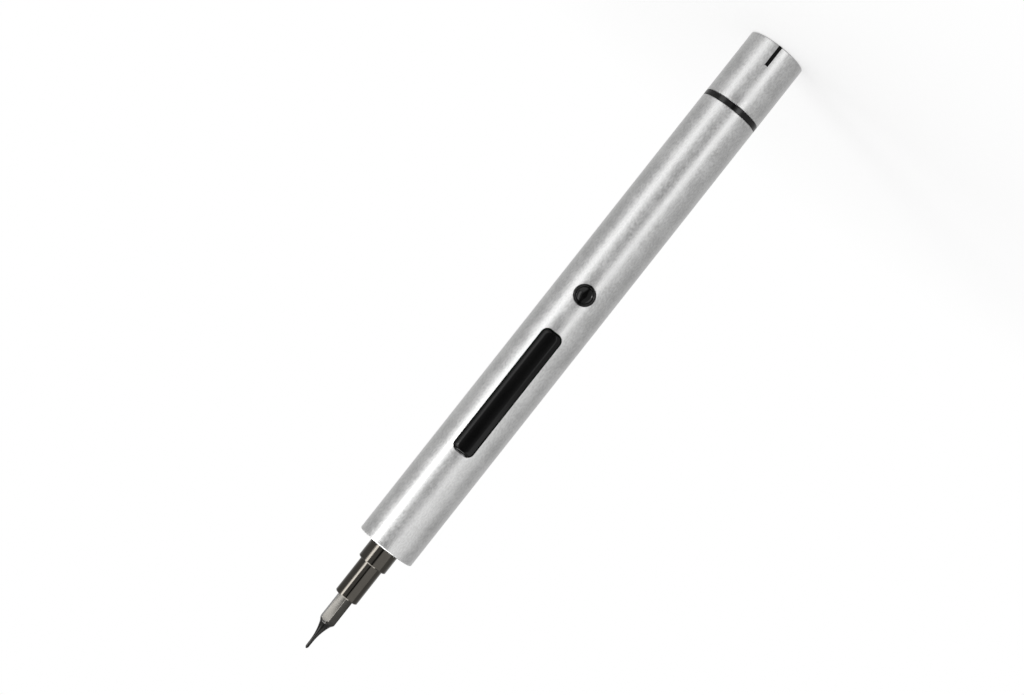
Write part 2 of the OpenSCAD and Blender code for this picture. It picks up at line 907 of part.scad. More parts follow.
module pole_plan() {
    translate([0, -arm_w / 2]) square([(armature_d - shoe_t) / 2, arm_w]);
    intersection() {
        difference() {
            circle(d = armature_d);
            circle(d = armature_d - 2 * shoe_t);
        }
        polygon([[0, 0], polar(armature_d, -shoe_angle / 2), [2 * armature_d, 0],
                 polar(armature_d, shoe_angle / 2)]);
    }
}

// One coil round each pole
module windings() {
    shoe_in = armature_d / 2 - shoe_t - coil_clear;
    x0 = core_ir + seat;
    x1 = sqrt(shoe_in * shoe_in - arm_w * arm_w);
    color("orangered")
        for (k = [0 : poles - 1])
            rotate([0, 0, 360 * k / poles])
                difference() {
                    translate([x0, -arm_w, stack_z - coil_over])
                        cube([x1 - x0, 2 * arm_w, stack_l + 2 * coil_over]);
                    translate([0, -arm_w / 2 - seat, stack_z - seat])
                        cube([armature_d, arm_w + 2 * seat, stack_l + 2 * seat]);
                }
}

// ---- inner frame ----

// Everything that the frame's two halves leave room for
module frame_hollow() {
    disc(cell_r + seat, cell_z - strap_t, partition_z);
    disc(frame_in_r, cavity_z, motor_z);
    disc(motor_r + seat, motor_z - eps, frame_end_z + eps);
    for (s = [-1, 1])
        translate([s * lead_at, 0, 0]) disc(lead_r + seat, frame_z - eps, cavity_z + eps);
    slab(2 * lead_at, -lead_r, lead_r, cell_z - strap_t, partition_z);
    slab(strap_w + 0.2, -strap_at - strap_t - seat, -cell_r + 1, cell_z - strap_t,
         partition_z + eps);
    slab(strap_w + 0.2, -strap_at - strap_t - seat, -strap_at + seat, partition_z - eps,
         cavity_z + eps);
}

module frame_screw_hole(r) {
    to_back(frame_screw_z)
        translate([0, 0, -frame_screw_tip - screw_room]) cylinder(r = r, h = body_d);
}

// Back half of the frame: cradle for the cell, rails for the board
module chassis_tray() {
    color("darkslateblue")
        difference() {
            union() {
                difference() {
                    disc(inner_r, frame_z, frame_end_z);
                    front_half();
                    frame_hollow();
                }
                board_rails();
            }
            frame_screw_hole(frame_screw_d / 2 + seat);
            to_back(frame_screw_z)
                translate([0, 0, frame_screw_head_at])
                    cylinder(r = frame_screw_head_d / 2 + seat, h = body_r);
        }
}

module board_rails() {
    for (s = [-1, 1]) {
        intersection() {
            translate([s * (frame_in_r - rail_w / 2), 0, 0])
                slab(rail_w, -board_back, 0, rail_z, board_end_z);
            disc(frame_in_r - seat, rail_z, board_end_z);
        }
        intersection() {
            translate([s * (frame_in_r - rail_w / 2), 0, 0])
                slab(rail_w + frame_wall, -split_at, 0, rail_z, board_end_z);
            disc(inner_r, rail_z, board_end_z);
        }
    }
}

// Front half of the frame: windows for the buttons, ears for the long button's pin
module chassis_cover() {
    slot_w = rocker_w + 2 * button_gap + 2 * slot_extra;
    slot_z = rocker_z - rocker_l / 2 - button_gap - slot_extra;
    color("slateblue")
        difference() {
            union() {
                difference() {
                    intersection() {
                        disc(inner_r, frame_z, frame_end_z);
                        front_half();
                    }
                    frame_hollow();
                    slab(slot_w, -body_r, -split_at - slot_extra, slot_z, frame_end_z + eps);
                    to_front(power_z) cylinder(r = bezel_r + slot_extra, h = body_r);
                }
                pivot_ears(slot_w);
            }
            frame_screw_hole(frame_screw_d / 2 + seat / 2);
            to_side(rocker_z, -pivot_front)
                translate([0, 0, -body_r]) cylinder(r = pivot_r + seat / 2, h = body_d);
        }
}

module pivot_ears(slot_w) {
    for (s = [-1, 1])
        intersection() {
            translate([s * (slot_w / 2 + ear_root - ear_w), 0, 0])
                slab(2 * ear_w, -pivot_front - ear_w / 2, -pivot_front + ear_w / 3,
                     rocker_z - ear_l / 2, rocker_z + ear_l / 2);
            disc(inner_r, rocker_z - ear_l, rocker_z + ear_l);
            translate([s * (lug_w / 2 + pin_extra + body_r), 0, 0])
                slab(body_d, -body_r, 0, rocker_z - ear_l, rocker_z + ear_l);
        }
}

module chassis_screw() {
    color("silver")
        to_back(frame_screw_z)
            union() {
                translate([0, 0, -frame_screw_tip])
                    cylinder(r = frame_screw_d / 2, h = frame_screw_tip + frame_screw_head_at + eps);
                translate([0, 0, frame_screw_head_at])
                    cylinder(r = frame_screw_head_d / 2, h = frame_screw_head_t);
            }
}

// ---- battery and wiring ----

module battery_cell() {
    color("royalblue")
        union() {
            edged_disc(cell_r, cell_z, cell_z + cell_l - cell_nub, cell_nub / 2);
            disc(cell_r / 2, cell_z + cell_l - cell_nub - eps, cell_z + cell_l);
        }
}

// Nickel strips on both ends of the cell, led forward to the board
module battery_straps() {
    board_contact_z = board_z + strap_rise;
    color("silver") {
        union() {
            slab(strap_w, -strap_at - strap_t, cell_r / 2, cell_z - strap_t, cell_z);
            slab(strap_w, -strap_at - strap_t, -strap_at, cell_z - strap_t, board_contact_z);
            slab(strap_w, -strap_at - strap_t, -board_front - eps / 2, board_contact_z - strap_t,
                 board_contact_z);
        }
        slab(strap_w, -cell_r / 2, cell_r - 1, cell_z + cell_l, cell_z + cell_l + strap_t);
    }
}

// Leads from the charging board to the main board
module charge_leads() {
    color("firebrick")
        for (s = [-1, 1])
            wire([[s * (charge_board_w / 2 - pad_in), charge_board_y - lead_r - eps, lead_low_z],
                  [s * lead_at, 0, lead_low_z + lead_bend],
                  [s * lead_at, 0, lead_high_z - lead_bend],
                  [s * (board_w / 2 - pad_in), -board_back + lead_r + eps, lead_high_z]],
                 lead_d);
}

// ---- boards and switches ----

module main_board() {
    color("darkgreen") slab(board_w, -board_front, -board_back, board_z, board_end_z);
}

// Square chip on the back of the main board
module chip(w, t, x, z) {
    translate([x, 0, z]) slab(w, -board_back, -board_back + t, -w / 2, w / 2);
}

// Controller, voltage converter's coil, two motor drivers and a capacitor
module board_chips() {
    color("black") {
        chip(controller_w, chip_t, 0, rocker_z);
        chip(coil_w, coil_t, 0, power_z + chip_pitch);
        for (s = [-1, 1])
            chip(driver_w, chip_t, s * (driver_w + driver_gap) / 2, rocker_z - chip_pitch);
        to_back(power_z)
            translate([0, 0, -board_back]) cylinder(d = capacitor_d, h = capacitor_l);
    }
}

module switch_places() {
    for (z = [power_z, rocker_z - rocker_switch_at, rocker_z + rocker_switch_at])
        translate([0, 0, z]) children();
}

module button_switches() {
    color("dimgray")
        switch_places()
            difference() {
                slab(switch_w, -switch_top, -board_front, -switch_w / 2, switch_w / 2);
                to_front(0)
                    translate([0, 0, switch_top - plunger_pocket])
                        cylinder(r = plunger_r + running, h = body_r);
            }
}

module plunger(z) {
    to_front(z)
        translate([0, 0, switch_top - plunger_in])
            cylinder(r = plunger_r, h = plunger_top - switch_top + plunger_in);
}

module rocker_plungers() {
    color("black")
        for (s = [-1, 1]) plunger(rocker_z + s * rocker_switch_at);
}

module power_plunger() {
    color("black") plunger(power_z);
}

module rocker_pin() {
    pin_l = rocker_w + 2 * pin_extra;
    color("silver")
        to_side(rocker_z, -pivot_front)
            translate([0, 0, -pin_l / 2]) cylinder(r = pivot_r, h = pin_l);
}

// ---- buttons ----

// Long button: plan, cross section and side outline cut from each other
module rocker_button() {
    half = rocker_l / 2;
    color([0.06, 0.06, 0.06])
        difference() {
            union() {
                intersection() {
                    to_front(rocker_z)
                        linear_extrude(height = body_d)
                            round_rect(rocker_w, rocker_l, rocker_corner);
                    translate([0, 0, rocker_z - half])
                        linear_extrude(height = rocker_l)
                            polygon([[-rocker_w / 2, -rocker_under], [rocker_w / 2, -rocker_under],
                                     [rocker_w / 2, -rocker_top + rocker_bevel],
                                     [rocker_flat / 2, -rocker_top],
                                     [-rocker_flat / 2, -rocker_top],
                                     [-rocker_w / 2, -rocker_top + rocker_bevel]]);
                    to_side(rocker_z)
                        translate([0, 0, -rocker_w])
                            linear_extrude(height = 2 * rocker_w)
                                polygon([[-half, -rocker_under], [half, -rocker_under],
                                         [half, -rocker_top + rocker_bevel],
                                         [half - rocker_bevel, -rocker_top],
                                         [-half + rocker_bevel, -rocker_top],
                                         [-half, -rocker_top + rocker_bevel]]);
                }
                slab(lug_w, -rocker_under - eps, -pivot_front + lug_under, rocker_z - lug_l / 2,
                     rocker_z + lug_l / 2);
                for (s = [-1, 1])
                    translate([0, 0, rocker_z + s * rocker_switch_at])
                        slab(nub_w, -rocker_under - eps, -plunger_top - nub_gap, -nub_w / 2,
                             nub_w / 2);
            }
            to_side(rocker_z, -pivot_front)
                translate([0, 0, -body_r]) cylinder(r = pivot_r + running, h = body_d);
        }
}

// Black ring round the round button, seated in the barrel's wall
module power_bezel() {
    top = body_r + bezel_rise;
    round_r = bezel_w / 2;
    color("black")
        to_front(power_z)
            rotate_extrude()
                union() {
                    translate([bezel_r - bezel_w, bezel_in])
                        square([bezel_w, top - round_r - bezel_in]);
                    translate([bezel_r - round_r, top - round_r]) circle(r = round_r);
                }
}

module power_button() {
    dish_r = (power_r * power_r + power_dish * power_dish) / (2 * power_dish);
    color([0.06, 0.06, 0.06])
        to_front(power_z)
            difference() {
                union() {
                    translate([0, 0, plunger_top]) cylinder(r = power_flange_r, h = power_flange_t);
                    translate([0, 0, plunger_top]) cylinder(r = power_r, h = power_top - plunger_top);
                }
                translate([0, 0, power_top - power_dish + dish_r]) sphere(r = dish_r);
            }
}

// ---- tail end ----

// Fixed plug that the dial turns on
module tail_core() {
    color("dimgray")
        difference() {
            union() {
                disc(neck_r, plate_z, core_z + eps);
                disc(core_r, core_z, seam_z);
                disc(neck_r, seam_z - eps, frame_z);
            }
            slab(pocket_w, -pocket_front, charge_board_y + board_t + seat, plate_z - eps,
                 core_floor_z);
            for (s = [-1, 1])
                translate([s * lead_at, 0, 0]) disc(lead_r + seat, lead_low_z, frame_z + eps);
            slab(2 * (lead_at + lead_r), -lead_r - 4 * seat, charge_board_y, lead_low_z - lead_d,
                 core_floor_z);
            end_screw_places()
                disc(plate_screw_d / 2 + seat / 2, -eps, plate_screw_l + screw_room);
            to_back(detent_z)
                translate([0, 0, spring_from]) cylinder(r = ball_r + running, h = body_r);
        }
}

module end_screw_places() {
    for (s = [-1, 1]) translate([0, s * plate_screw_at, plate_recess]) children();
}

// Plate that carries the scale and traps the dial's lip
module end_plate() {
    color("black")
        difference() {
            disc(core_r, plate_recess, plate_z);
            translate([0, 0, -eps])
                linear_extrude(height = plate_z + 2 * eps)
                    round_rect(usb_w + 2 * usb_slot_clear, usb_h + 2 * usb_slot_clear,
                               usb_corner + usb_slot_clear);
            end_screw_places() end_screw(seat);
        }
}

// Countersunk screw whose head lies flush with z = 0 and whose tip points up
module end_screw(grow) {
    r = plate_screw_d / 2 + grow;
    head = plate_screw_head / 2 + grow;
    cone = (plate_screw_head - plate_screw_d) / 2;
    rotate_extrude()
        polygon([[0, -grow], [head, -grow], [head, 0], [r, cone], [r, plate_screw_l],
                 [0, plate_screw_l]]);
}

module end_plate_screws() {
    color("silver") end_screw_places() end_screw(0);
}

module usb_shell() {
    color("silver")
        translate([0, 0, usb_z])
            difference() {
                linear_extrude(height = usb_l) round_rect(usb_w, usb_h, usb_corner);
                translate([0, 0, -eps])
                    linear_extrude(height = usb_l - usb_sheet)
                        round_rect(usb_w - 2 * usb_sheet, usb_h - 2 * usb_sheet,
                                   usb_corner - usb_sheet);
            }
}

module usb_tongue() {
    color("black")
        slab(tongue_w, -tongue_t / 2, tongue_t / 2, usb_z + tongue_back,
             usb_z + usb_l - usb_sheet - eps);
}

module charge_board() {
    color("darkgreen")
        slab(charge_board_w, charge_board_y, charge_board_y + board_t, charge_board_z,
             charge_board_z + charge_board_l);
}

// Charging chip and the dial's position sensor
module charge_chips() {
    color("black") {
        slab(charge_chip_w, charge_board_y - chip_t, charge_board_y,
             charge_chip_z, charge_chip_z + charge_chip_l);
        translate([-sensor_at, 0, magnet_z])
            slab(sensor_w, charge_board_y - chip_t, charge_board_y, -sensor_l / 2, sensor_l / 2);
    }
}

module detent_ball() {
    color("silver") translate([0, ball_at, detent_z]) sphere(r = ball_r);
}

module detent_spring() {
    color("gray")
        to_back(detent_z)
            translate([0, 0, spring_from])
                coil(spring_r, spring_len, spring_turns, spring_wire / 2);
}

// Aluminium sleeve that sets the torque
module torque_dial() {
    color("lightgray")
        difference() {
            rotate_extrude()
                polygon([[dial_bore_r, 0], [body_r - edge, 0], [body_r, edge],
                         [body_r, dial_l - edge], [body_r - edge, dial_l], [dial_bore_r, dial_l],
                         [dial_bore_r, dial_lip_z + dial_lip_t],
                         [dial_bore_r - dial_lip_w, dial_lip_z + dial_lip_t],
                         [dial_bore_r - dial_lip_w, dial_lip_z], [dial_bore_r, dial_lip_z]]);
            rotate_extrude()
                translate([ball_at, detent_z]) circle(r = ball_r + groove_play);
            for (a = [-dial_turn : dial_step : dial_turn])
                rotate([0, 0, a])
                    translate([0, ball_at + dimple_extra, detent_z])
                        sphere(r = ball_r + groove_play);
            intersection() {
                tube(body_d, body_r - index_depth, -eps, index_l);
                slab(index_w, -body_d, 0, -eps, index_l);
            }
            to_side(magnet_z)
                translate([0, 0, -dial_bore_r - dial_magnet_t - 2 * eps])
                    cylinder(d = dial_magnet_d + 2 * eps, h = body_r);
        }
}

// Black line set flush into the dial, which points at the setting
module index_inlay() {
    color("black")
        intersection() {
            tube(body_r, body_r - index_depth + eps, 0, index_l - eps);
            slab(index_w - 2 * eps, -body_d, 0, 0, index_l - eps);
        }
}

module dial_magnet() {
    color("dimgray")
        to_side(magnet_z)
            translate([0, 0, -dial_bore_r - dial_magnet_t - eps])
                cylinder(d = dial_magnet_d, h = dial_magnet_t);
}

// ---- bit holder and bit ----

module hex(af, z0, z1) {
    rotate([0, 0, hex_turn])
        translate([0, 0, z0]) cylinder(r = af / 2 / cos(30), h = z1 - z0, $fn = 6);
}

module bit_holder() {
    color("dimgray")
        difference() {
            union() {
                edged_disc(holder_r, bearing_z1 + float_z, holder_z1, nose_edge);
                disc(output_r + race_t, bearing_z1, bearing_z1 + 2 * float_z);
            }
            hex(bit_af + socket_clear, socket_z, holder_z1 + eps);
            disc(socket_magnet_d / 2 + seat / 2, socket_z - socket_magnet_l, socket_z + eps);
            disc(output_r + seat / 2, bearing_z, shaft_top_z);
        }
}

module socket_magnet() {
    color("silver") disc(socket_magnet_d / 2, socket_z - socket_magnet_l, socket_z);
}

// Neck radius: a hollow curve that falls steeply at first and runs out along the tip
function neck_r_at(t) = bit_tip_d / 2 + (bit_neck_d - bit_tip_d) / 2 * pow(1 - t, 2.2);

// Turned profile, ground to a hexagon where it is thick, with four flutes at the tip
module bit() {
    slope_z = bit_z + bit_hex_l;
    neck_z = slope_z + bit_slope_l;
    neck_l = bit_l - bit_hex_l - bit_slope_l - bit_tip_l;
    tip_z = bit_z + bit_l;
    neck = [for (i = [0 : neck_points])
        [neck_r_at(i / neck_points), neck_z + neck_l * i / neck_points]];
    color("gray")
        difference() {
            intersection() {
                hex(bit_af, bit_z - eps, tip_z + eps);
                rotate_extrude()
                    polygon(concat([[0, bit_z], [bit_r - bit_edge, bit_z],
                                    [bit_r + bit_edge, bit_z + 2 * bit_edge],
                                    [bit_r + bit_edge, slope_z - bit_edge]],
                                   neck,
                                   [[bit_tip_d / 2, tip_z - bit_tip_d / 2],
                                    [bit_tip_d / 6, tip_z], [0, tip_z]]));
            }
            for (k = [0 : 3])
                rotate([0, 0, 90 * k + hex_turn])
                    translate([bit_tip_d / 5, bit_tip_d / 5, tip_z - bit_tip_l])
                        cube([bit_tip_d, bit_tip_d, bit_tip_l + eps]);
        }
}

barrel();
seam_ring();
front_plate();
nose_sleeve();
led_board();
led_chips();
led_lenses();
bearing_outer();
bearing_balls();
gearbox_housing();
motor_plate();
motor_screws();
motor_can();
motor_magnets();
motor_bush();
motor_end_bell();
motor_brushes();
motor_leads();
chassis_tray();
chassis_cover();
chassis_screw();
main_board();
board_chips();
button_switches();
rocker_plungers();
rocker_pin();
power_bezel();
battery_cell();
battery_straps();
charge_leads();
tail_core();
end_plate();
end_plate_screws();
usb_shell();
usb_tongue();
charge_board();
charge_chips();
detent_ball();
detent_spring();
torque_dial();
index_inlay();
dial_magnet();
rocker_button();
power_button();
power_plunger();
output_carrier();
bit_holder();
socket_magnet();
bearing_inner();
second_planet_a();
second_planet_b();
second_planet_c();
first_carrier();
first_planet_a();
first_planet_b();
first_planet_c();
motor_shaft();
armature();
windings();
bit();
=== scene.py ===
import math

import bmesh
import bpy
import numpy as np
from mathutils import Matrix, Vector


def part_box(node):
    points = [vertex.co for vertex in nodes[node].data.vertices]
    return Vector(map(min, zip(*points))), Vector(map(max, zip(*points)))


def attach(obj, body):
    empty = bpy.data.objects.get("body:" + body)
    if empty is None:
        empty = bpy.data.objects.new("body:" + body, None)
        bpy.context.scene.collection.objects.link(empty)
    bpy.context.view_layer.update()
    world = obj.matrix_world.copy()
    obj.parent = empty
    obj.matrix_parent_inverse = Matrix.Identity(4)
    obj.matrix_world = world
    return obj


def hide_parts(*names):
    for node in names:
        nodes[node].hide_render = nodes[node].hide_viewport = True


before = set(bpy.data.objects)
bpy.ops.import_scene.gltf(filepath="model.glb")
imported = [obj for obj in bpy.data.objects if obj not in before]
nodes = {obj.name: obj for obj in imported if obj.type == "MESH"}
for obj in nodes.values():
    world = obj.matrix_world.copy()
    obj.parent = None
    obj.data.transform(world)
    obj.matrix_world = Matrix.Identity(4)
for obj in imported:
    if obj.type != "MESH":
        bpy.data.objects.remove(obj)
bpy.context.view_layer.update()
MM = 0.001

# ---- Viewpoint ----
# The screwdriver is seen from the side of its buttons, at arm's length,
# leaning down to the left with its bit.
camera = bpy.data.objects.new("camera", bpy.data.cameras.new("camera"))
bpy.context.scene.collection.objects.link(camera)
view_right = Vector((-0.7845, -0.0066, -0.6201)).normalized()
view_up = Vector((0.6200, -0.0193, -0.7843)).normalized()
turn = Matrix((view_right, view_up, view_right.cross(view_up))).transposed()
camera.matrix_world = Matrix.Translation((0.0024, -0.5577, 0.1114)) @ turn.to_4x4()
camera.data.sensor_width = 36
camera.data.lens = 77.48
camera.data.clip_start = 0.01
bpy.context.scene.camera = camera

# ---- Studio ----
# Softboxes stand left and right of the viewer, one above the other on the left, with a
# small one for the nose, and one more hangs above. The far side of the room is pale,
# the near side a mid grey, and the place where the viewer stands is dark.
def put(tree, kind, props=(), **sockets):
    """Adds one shader node. props are its settings; sockets are input values, or output
    sockets of other nodes, which are linked. An underscore stands for a space, and
    a name such as in_1 for the input with that number."""
    made = tree.nodes.new(kind)
    for key, value in dict(props).items():
        setattr(made, key, value)
    for key, value in sockets.items():
        number = key[3:] if key.startswith("in_") else ""
        socket = made.inputs[int(number)] if number.isdigit() else made.inputs[key.replace("_", " ")]
        if isinstance(value, bpy.types.NodeSocket):
            tree.links.new(value, socket)
        else:
            socket.default_value = value
    return made


def softbox(name, place, aim, width, height, watts):
    """A rectangular lamp at place that faces aim, its height along the world's Z."""
    lamp = bpy.data.lights.new(name, "AREA")
    lamp.shape = "RECTANGLE"
    lamp.size = width
    lamp.size_y = height
    lamp.energy = watts
    held = bpy.data.objects.new(name, lamp)
    out = (Vector(place) - Vector(aim)).normalized()
    side = Vector((0, 0, 1)).cross(out)
    side = side.normalized() if side.length > 0.1 else Vector((1, 0, 0))
    held.matrix_world = Matrix.Translation(place) @ Matrix(
        (side, out.cross(side), out)).transposed().to_4x4()
    held.visible_camera = False
    bpy.context.scene.collection.objects.link(held)


def around(degrees, distance, height):
    """A place at a distance from the axis, degrees round from the viewer's side."""
    a = math.radians(degrees)
    return (distance * math.sin(a), -distance * math.cos(a), height)


LAMPS_AWAY = 0.75
# name, degrees round from the viewer, height of the middle, width, height, watts
for name, degrees, middle, width, height, watts in (
        ("softbox_left", 50, -0.2, 0.32, 0.8, 0.8),
        ("softbox_left_high", 50, 0.5, 0.32, 0.6, 1.1),
        ("softbox_nose", 47, 0.29, 0.2, 0.16, 0.45),
        ("softbox_right", -25, -0.33, 0.24, 0.85, 1.0),
        ("softbox_fill", -43, 0.47, 1.0, 0.7, 1.05)):
    softbox(name, around(degrees, LAMPS_AWAY, middle), (0, 0, middle), width, height, watts)
softbox("softbox_top", (0.1, 0.1, 0.9), (0, 0, 0), 0.5, 0.5, 3.0)

bpy.context.scene.view_settings.view_transform = "Standard"
world = bpy.data.worlds.new("studio")
bpy.context.scene.world = world
world.use_nodes = True
sky = world.node_tree
sky.nodes.clear()
toward = put(sky, "ShaderNodeSeparateXYZ", Vector=put(sky, "ShaderNodeTexCoord").outputs["Generated"])
far_side = put(sky, "ShaderNodeMapRange", {"interpolation_type": "SMOOTHSTEP"},
               Value=toward.outputs["Y"], From_Min=0.35, From_Max=1.0, To_Min=0.37, To_Max=0.66)
aside = put(sky, "ShaderNodeMath", {"operation": "ABSOLUTE"}, in_0=toward.outputs["X"])
apart = put(sky, "ShaderNodeMath", {"operation": "MAXIMUM"}, in_0=aside.outputs[0], in_1=toward.outputs["Y"])
viewer = put(sky, "ShaderNodeMapRange", {"interpolation_type": "SMOOTHSTEP"}, Value=apart.outputs[0],
             From_Min=0.05, From_Max=0.17, To_Min=0.1, To_Max=1.0)
room = put(sky, "ShaderNodeMath", {"operation": "MULTIPLY"}, in_0=far_side.outputs["Result"],
           in_1=viewer.outputs["Result"])
ray = put(sky, "ShaderNodeLightPath")
seen = put(sky, "ShaderNodeMix", {"data_type": "FLOAT"}, Factor=ray.outputs["Is Diffuse Ray"],
           in_2=room.outputs[0], in_3=0.55)
white = put(sky, "ShaderNodeMix", {"data_type": "FLOAT"}, Factor=ray.outputs["Is Camera Ray"],
            in_2=seen.outputs[0], in_3=1.0)
back = put(sky, "ShaderNodeBackground", Color=(1, 1, 1, 1), Strength=white.outputs[0])
put(sky, "ShaderNodeOutputWorld", Surface=back.outputs[0])

floor_mesh = bpy.data.meshes.new("floor")
reach = 3.0
floor_mesh.from_pydata([(-reach, -reach, 0), (reach, -reach, 0), (reach, reach, 0), (-reach, reach, 0)],
                       [], [(0, 1, 2, 3)])
floor = bpy.data.objects.new("floor", floor_mesh)
bpy.context.scene.collection.objects.link(floor)
floor.location.z = -0.0002
floor.visible_glossy = False
floor.visible_shadow = False
paper = bpy.data.materials.new("paper")
paper.use_nodes = True
sheet = paper.node_tree
sheet.nodes.clear()
lit = put(sheet, "ShaderNodeBsdfDiffuse", Color=(0.93, 0.93, 0.93, 1))
glow = put(sheet, "ShaderNodeEmission", Color=(1, 1, 1, 1), Strength=1.0)
path = put(sheet, "ShaderNodeLightPath")
place = put(sheet, "ShaderNodeVectorMath", {"operation": "LENGTH"},
            in_0=put(sheet, "ShaderNodeTexCoord").outputs["Object"])
faded = put(sheet, "ShaderNodeMapRange", {"interpolation_type": "SMOOTHSTEP"}, Value=place.outputs["Value"],
            From_Min=0.02, From_Max=0.22, To_Min=0.6, To_Max=1.0)
share = put(sheet, "ShaderNodeMath", {"operation": "MULTIPLY"}, in_0=path.outputs["Is Camera Ray"],
            in_1=faded.outputs["Result"])
mixed = put(sheet, "ShaderNodeMixShader", Fac=share.outputs[0], in_1=lit.outputs[0], in_2=glow.outputs[0])
beneath = put(sheet, "ShaderNodeMixShader", Fac=put(sheet, "ShaderNodeNewGeometry").outputs["Backfacing"],
              in_1=mixed.outputs[0], in_2=put(sheet, "ShaderNodeBsdfTransparent").outputs[0])
put(sheet, "ShaderNodeOutputMaterial", Surface=beneath.outputs[0])
floor_mesh.materials.append(paper)

# ---- Barrel and dial ----
# The barrel and the dial are aluminium tube, turned, fine-blasted and clear anodised.
# The dial turns on the tail; the barrel is drawn over the inner frame from the tail.
def group(name, inputs, outputs):
    """A new shader node group with the named float or vector inputs and float outputs."""
    tree = bpy.data.node_groups.new(name, "ShaderNodeTree")
    for label, kind, default in inputs:
        socket = tree.interface.new_socket(label, in_out="INPUT", socket_type=kind)
        if default is not None:
            socket.default_value = default
    for label in outputs:
        tree.interface.new_socket(label, in_out="OUTPUT", socket_type="NodeSocketFloat")
    return tree, tree.nodes.new("NodeGroupInput"), tree.nodes.new("NodeGroupOutput")


# Grain: fine noise stretched along the axes, and a slow cloudiness of handling.
grain, given, made = group("grain", [("Vector", "NodeSocketVector", None),
                                     ("Across", "NodeSocketFloat", 6000.0),
                                     ("Along", "NodeSocketFloat", 6000.0),
                                     ("Cloud", "NodeSocketFloat", 60.0)], ["Fine", "Cloudy"])
stretch = put(grain, "ShaderNodeCombineXYZ", X=given.outputs["Across"], Y=given.outputs["Across"],
              Z=given.outputs["Along"])
scaled = put(grain, "ShaderNodeVectorMath", {"operation": "MULTIPLY"}, in_0=given.outputs["Vector"],
             in_1=stretch.outputs[0])
fine = put(grain, "ShaderNodeTexNoise", Vector=scaled.outputs[0], Scale=1.0, Detail=3.0, Roughness=0.6)
cloudy = put(grain, "ShaderNodeTexNoise", Vector=given.outputs["Vector"], Scale=given.outputs["Cloud"],
             Detail=4.0, Roughness=0.55)
grain.links.new(fine.outputs[0], made.inputs["Fine"])
grain.links.new(cloudy.outputs[0], made.inputs["Cloudy"])


def finish(name, colour, rough, metallic=0.0, across=6000.0, along=6000.0, cloud=60.0, tone=0.08,
           bump=0.1, depth=0.00001, spread=0.06, coat=0.0, specular=0.5, grit=0.6, extra=None):
    """A material whose colour and roughness vary with the grain group: its colour runs
    from (1 - tone) to (1 + tone) of what is written, its roughness by spread, and the
    fine grain, which weighs grit against the cloudiness, lifts the surface by depth
    times bump. extra may change the colour further."""
    material = bpy.data.materials.new(name)
    material.use_nodes = True
    tree = material.node_tree
    shader = tree.nodes["Principled BSDF"]
    here = put(tree, "ShaderNodeTexCoord").outputs["Object"]
    seeds = put(tree, "ShaderNodeGroup", {"node_tree": grain}, Vector=here, Across=across, Along=along,
                Cloud=cloud)
    low = [c * (1 - tone) for c in colour] + [1]
    high = [min(1, c * (1 + tone)) for c in colour] + [1]
    both = put(tree, "ShaderNodeMath", {"operation": "MULTIPLY_ADD"}, in_0=seeds.outputs["Fine"], in_1=grit,
               in_2=seeds.outputs["Cloudy"])
    mask = put(tree, "ShaderNodeMapRange", Value=both.outputs[0], From_Min=0.2 + grit / 2,
               From_Max=0.8 + grit / 2)
    shade = put(tree, "ShaderNodeMix", {"data_type": "RGBA"}, in_0=mask.outputs[0], in_6=low, in_7=high)
    level = put(tree, "ShaderNodeMapRange", Value=mask.outputs[0], To_Min=max(0.02, rough - spread),
                To_Max=rough + spread)
    colour_out = shade.outputs[2]
    if extra:
        colour_out = extra(tree, here, colour_out)
    tree.links.new(colour_out, shader.inputs["Base Color"])
    tree.links.new(level.outputs[0], shader.inputs["Roughness"])
    raised = put(tree, "ShaderNodeBump", Height=seeds.outputs["Fine"], Strength=bump, Distance=depth)
    tree.links.new(raised.outputs[0], shader.inputs["Normal"])
    shader.inputs["Metallic"].default_value = metallic
    shader.inputs["Coat Weight"].default_value = coat
    shader.inputs["Coat Roughness"].default_value = 0.08
    shader.inputs["Specular IOR Level"].default_value = specular
    return material


def dress(material, *names):
    """Gives CAD nodes a material in all their slots."""
    for name in names:
        for slot in nodes[name].material_slots:
            slot.material = material


anodised = finish("satin_aluminium", (0.84, 0.84, 0.835), 0.42, 1.0, across=3000, along=1500, cloud=150,
                  tone=0.12, bump=0.6, depth=0.000014, spread=0.08, grit=2.0)
dress(anodised, "barrel", "torque_dial")

# ---- Black trim ----
# The seam ring, the index line and the buttons are moulded in glossy black; the front
# plate is the same plastic with a matt grain.
gloss = finish("gloss_black", (0.003, 0.003, 0.003), 0.2, tone=0.3, bump=0.05, spread=0.04)
satin = finish("satin_black", (0.002, 0.002, 0.002), 0.16, tone=0.3, bump=0.05, spread=0.03, specular=0.35)
lacquer = finish("lacquer_black", (0.002, 0.002, 0.002), 0.07, tone=0.3, bump=0.02, spread=0.02,
                 specular=0.45)
matt = finish("matt_black", (0.02, 0.02, 0.02), 0.5, tone=0.25, bump=0.4, depth=0.00002)
dress(gloss, "seam_ring", "index_inlay")
dress(matt, "front_plate", "end_plate", "tail_core")


